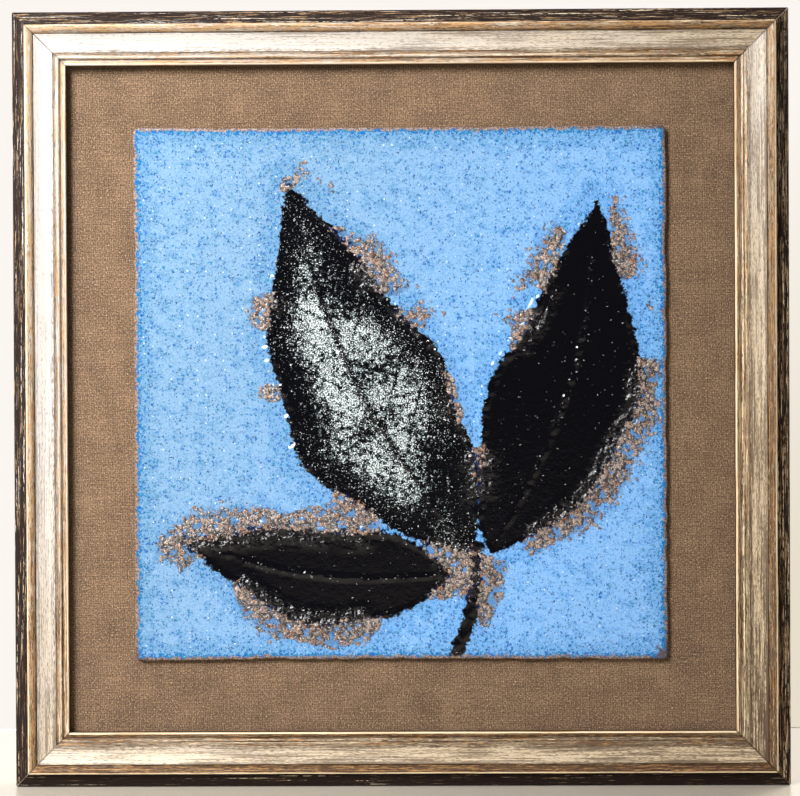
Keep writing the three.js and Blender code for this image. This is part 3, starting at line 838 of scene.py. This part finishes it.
def along_rib(leaf, x, z, half):
    """For points in millimetres from the sheet's centre: their share of the way from base to tip, the same
    kept from 0 to 1, their distance from the midrib, which is a straight line plus a sine sag, and the run's
    length."""
    base = np.array(leaf["base"]) * half
    run = np.array(leaf["tip"]) * half - base
    reach = np.hypot(*run)
    direction = run / reach
    offset_x = x - base[0]
    offset_z = z - base[1]
    s = (offset_x * direction[0] + offset_z * direction[1]) / reach
    inside = np.clip(s, 0.0, 1.0)
    sag = leaf["bend"] * half * np.sin(math.pi * inside)
    from_rib = -offset_x * direction[1] + offset_z * direction[0] - sag
    return s, inside, from_rib, reach


def leaf_fields(leaf, x, z, half):
    """How far inside the leaf's edge the points are (below zero outside), and all that along_rib gives but
    its first. The edge is half_width sin(pi s^fullness) (1 + ripple) from the midrib."""
    s, inside, from_rib, reach = along_rib(leaf, x, z, half)
    half_width = leaf["half_width"] * half
    ripple = 1 + LEAF_RIPPLE * np.sin(2 * math.pi * leaf["waves"] * inside + np.sign(from_rib))
    width = half_width * np.sin(math.pi * inside**LEAF_FULLNESS) * ripple
    step = 1e-3
    ahead = np.sin(math.pi * np.clip(inside + step, 0, 1) ** LEAF_FULLNESS)
    behind = np.sin(math.pi * np.clip(inside - step, 0, 1) ** LEAF_FULLNESS)
    slope = half_width * (ahead - behind) / (2 * step * reach)
    beyond = np.abs(s - inside) * reach
    edge = (width - np.abs(from_rib)) / np.sqrt(1 + slope**2)
    edge = np.where(beyond > 0, -np.hypot(np.abs(from_rib), beyond), edge)
    return edge, inside, from_rib, reach


def wander(side, s):
    """How far a hand-cut side wanders inward at the share s of its run, from 0 to 1."""
    wave = np.sin(5.1 * s + 2.3 * side) * 0.6 + np.sin(13 * s + 1.7 * side) * 0.4
    return np.sin(math.pi * s) * (1 + wave) * 0.5


def sheet_outline_grid(count, half):
    """A square grid from -half to half in millimetres, finer at the border, whose sides wander inward and
    whose corners are rounded: in each corner's square the point (a, b) goes to a sqrt(1 - b^2 / 2) and
    b sqrt(1 - a^2 / 2)."""
    t = sheet()
    rim = np.array([0.0, 0.06, 0.17, 0.33, 0.52]) * t.edge_round / MM
    inner = np.linspace(-half + t.edge_round / MM, half - t.edge_round / MM, count - 2 * len(rim))
    line = np.concatenate([-half + rim, inner, (half - rim)[::-1]])
    x, z = np.meshgrid(line, line, indexing="ij")
    corner = t.sheet_corner / MM
    a = np.clip((np.abs(x) - (half - corner)) / corner, 0, None)
    b = np.clip((np.abs(z) - (half - corner)) / corner, 0, None)
    x = x - np.sign(x) * corner * (a - a * np.sqrt(1 - b**2 / 2))
    z = z - np.sign(z) * corner * (b - b * np.sqrt(1 - a**2 / 2))
    wave = t.edge_wave / MM
    nibble = t.edge_nibble / MM
    chip_x = nibble * smooth_step(0.35, 0.8, layered_noise(z / 5.0, np.sign(x), 52, 3))
    chip_z = nibble * smooth_step(0.35, 0.8, layered_noise(x / 5.0, np.sign(z) + 7, 56, 3))
    run = 2 * (half - corner)
    sx = np.clip((x + half - corner) / run, 0, 1)
    sz = np.clip((z + half - corner) / run, 0, 1)
    pull_low = wave * wander(0, sx) * (1 - (z + half) / (2 * half))
    pull_right = wave * wander(1, sz) * (x + half) / (2 * half)
    pull_high = wave * wander(2, 1 - sx) * (z + half) / (2 * half)
    pull_left = wave * wander(3, 1 - sz) * (1 - (x + half) / (2 * half))
    from_edge = half - np.maximum(np.abs(x), np.abs(z))
    x = x - pull_right + pull_left - chip_x * x / half
    z = z + pull_low - pull_high - chip_z * z / half
    return x, z, from_edge


def build_sheet():
    """The enamelled sheet on a grid: its height is the sheet's thickness, rounded off at the rim, plus crust
    along the leaves' edges and midribs, broken into lumps by noise, less pits and the glass's ripples. All
    are in millimetres, and the shader reads what they follow from values on the points."""
    t = sheet()
    low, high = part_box("enamel_panel")
    half = (high.x - low.x) / 2 / MM
    centre = ((low.x + high.x) / 2, (low.z + high.z) / 2)
    points = 306
    x, z, from_edge = sheet_outline_grid(points, half)

    fields = {name: leaf_fields(leaf, x, z, half) for name, leaf in LEAVES.items()}
    frosted = fields["frosted"][0]
    black = np.maximum(fields["right"][0], fields["low"][0])
    s, inside, from_stem, reach = along_rib(STEM, x, z, half)
    stem = STEM_RADIUS - np.hypot(from_stem, np.abs(s - inside) * reach)
    black = np.maximum(black, stem)
    edge = np.maximum(frosted, black)

    lumps = layered_noise(x / 2.3, z / 2.3, 21, 2)
    grit = layered_noise(x / 1.1, z / 1.1, 24, 2)
    crust = np.zeros_like(x)
    vein = np.zeros_like(x)
    for from_outline, along, from_rib, leaf_reach in fields.values():
        body = 0.3 + 0.7 * np.sin(math.pi * along)
        width = t.crust_width / MM / 2 * body
        band = smooth_step(1.15, 0.45, np.abs(from_outline) / width)
        rib = smooth_step(1.1, 0.4, np.abs(from_rib) / (t.rib_width / MM / 2 * (0.4 + body * 0.6)))
        rib *= smooth_step(0.0, 0.03, along) * smooth_step(0.95, 0.85, along) * (from_outline > 0)
        crust = np.maximum(crust, np.maximum(band, rib * 0.8) * body)
        phase = (along * leaf_reach - np.abs(from_rib) * 1.15) / BRANCH_PITCH + 0.3
        spread = np.abs(phase - np.round(phase)) * BRANCH_PITCH
        branch = smooth_step(0.95, 0.25, spread) * smooth_step(1.5, 5.0, from_outline)
        vein = np.maximum(vein, np.maximum(branch * 0.8, rib))
    crust = np.maximum(crust, smooth_step(-2.6, 0.6, stem) * 0.6)
    crust *= smooth_step(0.6, 2.4, from_edge)

    patch = layered_noise(x / 17, z / 17, 44, 2)
    peel = layered_noise(x / 4.2, z / 4.2, 31, 2) * 0.6 + layered_noise(x / 1.6, z / 1.6, 33, 1) * 0.4
    lumpy = smooth_step(8.0, 2.0, np.abs(edge - 1.5)) * smooth_step(0.46, 0.62, patch)
    lumpy *= smooth_step(0.8, 3.5, from_edge)
    beads = smooth_step(0.4, 0.68, layered_noise(x / 1.9, z / 1.9, 27, 2))
    ridge = t.crust_height / MM * crust * (0.2 + 0.8 * smooth_step(0.3, 0.7, lumps))
    rise = np.maximum(ridge, t.bead_height / MM * lumpy * beads)
    bare = np.hypot(half - x, z + half)
    bare = np.minimum(bare, np.hypot(half - x, half - z) + 2.0)
    bare = np.minimum(bare, np.hypot(half + x, z + half) + 3.0)
    pits = 0.16 * crust * smooth_step(0.5, 0.8, grit)
    radius = t.edge_round / MM
    inset = np.clip(from_edge, 0.0, radius)
    rounding = radius - np.sqrt(radius**2 - (radius - inset) ** 2)
    height = t.sheet_thickness / MM - rounding - t.peel / MM * peel + rise - pits
    height = np.minimum(height, (high.y - low.y) / MM)

    grid = np.stack([centre[0] + x * MM, high.y - height * MM, centre[1] + z * MM], axis=-1)
    wall = border(grid)
    wall[:, 1] = high.y - radius * 0.7 * MM
    middle = np.array([centre[0], 0.0, centre[1]])
    under = middle + (border(grid) - middle) * (1 - 0.5 * radius / half)
    under[:, 1] = high.y
    vertices, faces, slots = slab(grid, [wall, under])
    finishes = [enamel_finish(), counter_enamel_finish()]
    piece = make_piece("enamel_sheet", vertices, faces, finishes, (slots > 1).astype(int))

    for name, values in {
        "frosted": frosted,
        "black_glass": black,
        "leaf_edge": edge,
        "patch": patch,
        "lumpy": lumpy,
        "bare": bare,
        "vein": vein,
        "rim": from_edge,
        "chance": layered_noise(x / 30, z / 30, 41, 2),
    }.items():
        rim_values = border(values)
        add_values(piece, name, np.concatenate([values.reshape(-1), rim_values, rim_values]))
    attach(piece, "root")
    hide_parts("enamel_panel")
    return piece


def counter_enamel_finish():
    """Dark counter-enamel on the hidden back of the sheet."""
    f = Finish("counter_enamel", Roughness=0.3)
    x, _, z = f.parts(f.place())
    mottle = f.noise(f.join(x, z), 0.4, 3.0, 0.6)
    return f.finish(Base_Color=f.mix(mottle, colours().navy, colours().black))


def enamel_finish():
    """Fused glass: a speckled sky-blue ground that deepens near the leaves and the rim and is painted darker
    toward the upper left as shade against the brighter light there, glossy black and frosted leaves, patches
    of brown crust along their edges with painted shade round the crumbs and painted glints, and a firescale
    rim."""
    c = colours()
    f = Finish("fused_enamel", IOR=1.5)
    x, _, z = f.parts(f.place())
    flat = f.join(x, z)
    carried = ("frosted", "leaf_edge", "black_glass", "vein", "rim", "patch", "lumpy", "bare", "chance")
    frosted, leaf_edge, black_glass, vein, rim, patch, lumpy, bare, chance = map(f.attribute, carried)

    cloud = f.noise(flat, 0.03, 2.0, 0.5)
    mottle = f.noise(flat, 0.6, 3.0, 0.6)
    grit = f.noise(flat, 1.25, 2.0, 0.6)
    dust = f.noise(f.join(x, z, 5.0), 2.1, 1.0, 0.5)
    spark = f.noise(f.join(x, z, 9.0), 1.9, 1.0, 0.5)
    ragged = f.noise(f.join(x, z, 2.0), 0.42, 4.0, 0.7)
    ragged_edge = leaf_edge + (ragged - 0.5) * 7.0

    # ground: clear in the open, crowded with deep grains in clumps and toward the leaves and the rim
    near = f.step(leaf_edge, -13.0, -1.0)
    rim_depth = f.step(rim, 12.0, 0.0)
    drift = f.noise(f.join(x, z, 13.0), 0.22, 3.0, 0.6)
    crowd = f.step(drift + near * 0.24 + rim_depth * 0.26, 0.46, 0.7)
    # painted shade: the ground's blues turn darker toward the upper left, against the brighter light there
    toward_right = f.step(x * 0.7 - z * 0.35, SHEET_SWEEP[0], SHEET_SWEEP[1])
    veil = f.step(grit * 0.5 + dust * 0.5 + (crowd - 0.3) * 0.12, 0.43, 0.58)
    light_blue = f.mix(toward_right, c.sky_left, c.sky)
    middle_blue = f.mix(rim_depth * 0.5, f.mix(toward_right, c.mid_left, c.mid_blue), c.teal)
    ground = f.mix(veil * 0.38, light_blue, middle_blue)
    jitter = f.join(x + (dust - 0.5) * 2.0, z + (spark - 0.5) * 2.0)
    hue = f.mix(f.step(mottle + (dust - 0.5) * 0.5, 0.46, 0.58), c.cobalt, c.teal)
    haze, _ = f.grains(jitter, 1.7, crowd * 0.3 + 0.4, 0.42)
    ground = f.mix(haze * 0.42, ground, middle_blue)
    blot, _ = f.grains(jitter, 0.62, crowd * 0.7 + 0.16, 0.44)
    ground = f.mix(blot * f.step(grit, 0.38, 0.5) * 0.9, ground, hue)
    fleck, tint = f.grains(jitter, 0.95, crowd * 0.45 + 0.28, 0.36)
    ground = f.mix(fleck * 0.8, ground, f.mix(f.step(tint, 0.62, 0.75), hue, c.navy))
    prick, _ = f.grains(f.join(x + 31.0, z + (grit - 0.5) * 2.0), 0.75, crowd * 0.2 + 0.2, 0.22)
    ground = f.mix(prick * 0.95, ground, c.navy)
    shine, _ = f.grains(f.join(x, z + 60), 0.3, 0.22, 0.11)
    ground = f.mix(shine * 0.8, ground, c.white)

    # frosted leaf: black glass with white grains that crowd toward its middle
    density = f.step(frosted + (ragged - 0.5) * 16.0, 3.0, 19.0)
    density = density * (1 - vein * 0.6) * f.step(cloud + (ragged - 0.5) * 0.8, 0.3, 0.6)
    fog = f.step(dust * 0.6 + mottle * 0.4 + density * 0.34, 0.64, 0.84)
    frost = f.mix(fog * 0.85, c.black, c.frost)
    lit = f.step(spark + density * 0.22 + (mottle - 0.5) * 0.3 + (cloud - 0.5) * 0.2, 0.67, 0.8)
    frost = f.mix(lit * 0.9, frost, c.white)
    strays, _ = f.grains(jitter, 0.8, 0.1 + density * 0.3, 0.24)
    frost = f.mix(strays * 0.85, frost, c.white)

    # black leaves
    glints = f.step(ragged, 0.5, 0.62) * 0.3 + vein * 0.3
    glint, _ = f.grains(f.join(x + (mottle - 0.5) * 4.0, z), 0.7, glints, 0.15)
    glass = f.mix(glint * f.step(dust, 0.35, 0.6), c.black, c.white)
    leaf = f.mix(f.step(frosted - black_glass, -0.4, 0.4), glass, frost)
    tone = f.mix(f.step(ragged_edge, -0.6, 0.2), ground, leaf)

    # crust in patches outside the leaves' edges: a solid mass near the edge and loose crumbs beyond, with
    # painted shade round each crumb and painted glints
    spread = f.step(patch, 0.4, 0.6) * 11.0
    reach = (leaf_edge + (ragged - 0.5) * 10.0) / (spread + 0.01)
    outside = f.step(leaf_edge + (ragged - 0.5) * 9.0, 2.5, 0.0)
    likely = f.step(reach, -1.2, -0.3) * outside * f.step(spread, 0.6, 3.0)
    crumb, pick, shade = f.cells(f.join(x + (mottle - 0.5) * 3.0, z + (grit - 0.5) * 3.0), 0.62)
    mass = f.step(likely + (mottle - 0.5) * 1.8 + (grit - 0.5) * 1.2, 0.62, 0.7)
    loose = f.step(crumb, 0.62, 0.46) * (pick < likely * 0.8)
    grain = mass.most(loose) * (pick < 0.82)
    rubble = f.mix(f.step(shade + (chance - 0.5) * 0.6, 0.42, 0.62), c.crust_grey, c.crust)
    rubble = f.mix(f.step(shade + (chance - 0.5) * 0.3, 0.3, 0.22) * 0.85, rubble, c.crust_gold)
    # darker toward each crumb's border: dark glass in the gaps, and painted shade round the crumbs' relief
    rubble = f.mix(f.step(crumb + (grit - 0.5) * 1.2, 0.32, 0.54) * 0.95, rubble, c.crust_dark)
    rubble = f.mix(f.step(dust * 0.6 + mottle * 0.4, 0.46, 0.38) * 0.8, rubble, c.crust_dark)
    # painted glints: white specks on the crust
    rubble = f.mix(f.step(spark, 0.6, 0.66) * 0.6, rubble, c.white)
    tone = f.mix(f.step(likely, 0.2, 0.8) * 0.4, tone, c.navy)
    tone = f.mix(grain * 0.96, tone, rubble)

    # oxide and blue-green at the rim
    turned = f.step(mottle * 0.6 + grit * 0.4 + f.step(rim, 4.5, 0.4) * 0.2, 0.6, 0.68)
    turned = turned * f.step(leaf_edge, 1.0, 0.0) * f.step(rim, 6.0, 3.0)
    tone = f.mix(turned * 0.9, tone, f.mix(f.step(dust, 0.42, 0.58), c.teal, c.cobalt))
    oxide = f.step(rim.least(bare * 0.24) + (mottle - 0.5) * 4.0 + (ragged - 0.5) * 3.0, 1.5, 0.8)
    crusty = f.step(grit - f.step(bare, 10.0, 4.0) * 0.15, 0.4, 0.6)
    tone = f.mix(oxide * 0.92, tone, f.mix(crusty, c.firescale, c.crust))

    rough = 0.09 + grain * 0.2 + oxide * 0.35
    bead, _, _ = f.cells(f.join(x + (mottle - 0.5) * 2.0, z + (grit - 0.5) * 2.0), 0.62)
    mound = 0.5 + (1 - crumb) * 1.8 + (grit - 0.5) * 2.0
    height = mottle * 0.35 + grit * 0.12 + grain * mound + lumpy * (1 - bead) * 1.6
    return f.finish(Base_Color=tone, Roughness=rough, Normal=f.bump(height, 0.25 * MM, 0.7))


class ENAMEL_OT_sheet(bpy.types.Operator):
    """Build the enamelled sheet with its sprig"""

    bl_idname = "enamel.sheet"
    bl_label = "Enamelled sheet"

    def execute(self, context):
        build_sheet()
        return {"FINISHED"}


# Fixings


def plated_finish(name, tone):
    """Plated strip: fine rolling scratches and dull spots."""
    f = Finish(name, Metallic=1.0)
    x, y, z = f.parts(f.place())
    scratch = f.noise(f.join(x * 1.1, y * 6.0, z * 6.0), 1.0, 3.0, 0.6)
    spot = f.noise(f.place(), 0.8, 2.0, 0.6)
    shade = f.mix(f.step(spot, 0.4, 0.62) * 0.6, tone, dimmed(tone, 0.55))
    return f.finish(
        Base_Color=shade, Roughness=0.25 + scratch * 0.3, Normal=f.bump(scratch, 0.04 * MM, 0.5)
    )


class ENAMEL_OT_fixings(bpy.types.Operator):
    """Finish the steel points, the nails and the hanger on the back"""

    bl_idname = "enamel.fixings"
    bl_label = "Fixings"

    def execute(self, context):
        zinc = plated_finish("zinc_plate", colours().zinc)
        brass = plated_finish("brass_plate", colours().brass)
        if not SMALL_STEEL:
            raise RuntimeError("the frame has no steel points or nails to finish")
        for name in SMALL_STEEL + ["sawtooth_hanger"]:
            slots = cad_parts[name].data.materials
            slots.clear()
            slots.append(brass if name == "sawtooth_hanger" else zinc)
        return {"FINISHED"}


# Stage


def softbox(name, place, target, size, power, spread, tint):
    """A square area light that faces target and sends its light within the angle spread. Its place and its
    target are from the middle of the frame's back."""
    data = bpy.data.lights.new(name, "AREA")
    data.shape = "SQUARE"
    data.size = size
    data.energy = power
    data.spread = math.radians(spread)
    data.color = tint
    lamp = bpy.data.objects.new(name, data)
    lamp.location = FRAME_CENTRE + Vector(place)
    lamp.rotation_euler = (Vector(target) - Vector(place)).to_track_quat("-Z", "Y").to_euler()
    bpy.context.scene.collection.objects.link(lamp)
    return lamp


def stage_strip(name, first, second, material):
    """A flat strip across the stage between two lines, each given by its depth and height."""
    half_width = 1.6
    corners = [(-half_width, *first), (half_width, *first), (half_width, *second), (-half_width, *second)]
    return make_piece(name, np.array(corners), [np.array([[0, 1, 2, 3]])], [material])


def build_floor():
    """A pale tabletop that ends a hand's breadth behind the frame, with a thin light line at its edge."""
    far = FRAME_BACK + 0.15
    near = FRAME_BACK - 1.4
    clearance = 0.0002
    line_height = 0.0002
    level = FRAME_BOTTOM - clearance
    f = Finish("tabletop", Roughness=0.14, IOR=1.55)
    pale = colours().floor
    cloud = f.noise(f.place(), 0.004, 2.0, 0.5)
    tabletop = f.finish(Base_Color=f.mix(cloud, dimmed(pale, 0.93), pale))
    rim = Finish("tabletop_edge", Roughness=0.8).finish(Base_Color=linear(252, 247, 236))
    top = stage_strip("tabletop", (near, level), (far, level), tabletop)
    strip = stage_strip("tabletop_edge", (far, level), (far, level + line_height), rim)


def set_camera():
    """A long lens a metre in front of the frame, a touch right and above, rolled a quarter of a degree."""
    picture = (800, 796)
    frame_across = 776.5
    frame_middle = (401.0, 398.2)
    distance = 1.0
    turn = math.radians(0.8)
    lift = math.radians(0.5)
    roll = math.radians(-0.27)
    sensor = 36.0
    face_depth = 0.0134
    pixels_per_unit = frame_across * distance / RAIL_RUN
    data = bpy.data.cameras.new("camera")
    data.sensor_width = sensor
    data.lens = pixels_per_unit / picture[0] * sensor
    camera = bpy.data.objects.new("camera", data)
    face = FRAME_CENTRE - Vector((0.0, face_depth, 0.0))
    toward = Vector((math.sin(turn) * math.cos(lift), -math.cos(turn) * math.cos(lift), math.sin(lift)))
    camera.location = face + toward * distance
    camera.rotation_euler = (
        (-toward).to_track_quat("-Z", "Y").to_matrix() @ Matrix.Rotation(roll, 3, "Z")
    ).to_euler()
    data.shift_x = -(frame_middle[0] - picture[0] / 2) / picture[0]
    data.shift_y = (frame_middle[1] - picture[1] / 2) / picture[0]
    bpy.context.scene.collection.objects.link(camera)
    bpy.context.scene.camera = camera


def set_world():
    """Off-white surroundings for the camera, cream toward the lower right. On the object they shine from
    behind, and only dimly from in front."""
    f = Finish("studio", owners="worlds")
    x, y, z = f.parts(f.node("ShaderNodeTexCoord", output="Generated"))
    cream = f.ramp(x - z, 0.03, 0.21, 0.0, 1.0)
    paper = f.mix(cream, linear(252, 246, 241), linear(231, 222, 203))
    seen = f.node("ShaderNodeBackground", inputs={"Color": paper})
    strength = f.ramp(y, -0.1, 0.3, 0.07, 0.85)
    light = solid(linear(255, 250, 244))
    around = f.node("ShaderNodeBackground", inputs={"Color": light, "Strength": strength})
    to_camera = f.node("ShaderNodeLightPath", output="Is Camera Ray")
    both = f.node("ShaderNodeMixShader", inputs={0: to_camera, 1: around, 2: seen})
    f.node("ShaderNodeOutputWorld", inputs={"Surface": both})
    bpy.context.scene.world = f.owner
    bpy.context.scene.view_settings.view_transform = "Standard"


class ENAMEL_OT_stage(bpy.types.Operator):
    """Set the tabletop, the soft lights, the pale surroundings and the camera"""

    bl_idname = "enamel.stage"
    bl_label = "Stage"

    def execute(self, context):
        build_floor()
        set_world()
        set_camera()
        softbox("key", (-0.7, -0.82, 0.7), (-0.33, 0.0, 0.25), 0.7, 6.8, 50.0, (1.0, 0.985, 0.97))
        fill = softbox("fill", (0.7, -0.9, 0.1), (0.0, 0.0, 0.0), 0.7, 0.9, 180.0, (1.0, 0.86, 0.68))
        behind = softbox("behind", (0.6, 0.7, 0.3), (0.2, -0.04, -0.15), 0.4, 1.0, 45.0, (1.0, 0.95, 0.88))
        fill.visible_glossy = False
        behind.visible_glossy = False
        return {"FINISHED"}


class ENAMEL_PT_panel(bpy.types.Panel):
    """Sidebar panel with one button for each group of pieces"""

    bl_idname = "ENAMEL_PT_panel"
    bl_label = "Framed enamel panel"
    bl_space_type = "VIEW_3D"
    bl_region_type = "UI"
    bl_category = "Enamel"

    def draw(self, context):
        for operator in OPERATORS:
            self.layout.operator(operator.bl_idname)


OPERATORS = (ENAMEL_OT_moulding, ENAMEL_OT_board, ENAMEL_OT_sheet, ENAMEL_OT_fixings, ENAMEL_OT_stage)
GROUPS = {"moulding_sizes": MouldingSizes, "sheet_sizes": SheetSizes, "panel_colours": PanelColours}
CLASSES = (*GROUPS.values(), *OPERATORS, ENAMEL_PT_panel)


def register():
    for cls in CLASSES:
        bpy.utils.register_class(cls)
    for name, group in GROUPS.items():
        setattr(bpy.types.Scene, name, bpy.props.PointerProperty(type=group))


def unregister():
    for name in GROUPS:
        delattr(bpy.types.Scene, name)
    for cls in reversed(CLASSES):
        bpy.utils.unregister_class(cls)


def main():
    register()
    bpy.ops.enamel.moulding()
    bpy.ops.enamel.board()
    bpy.ops.enamel.sheet()
    bpy.ops.enamel.fixings()
    bpy.ops.enamel.stage()


if __name__ == "__main__":
    main()
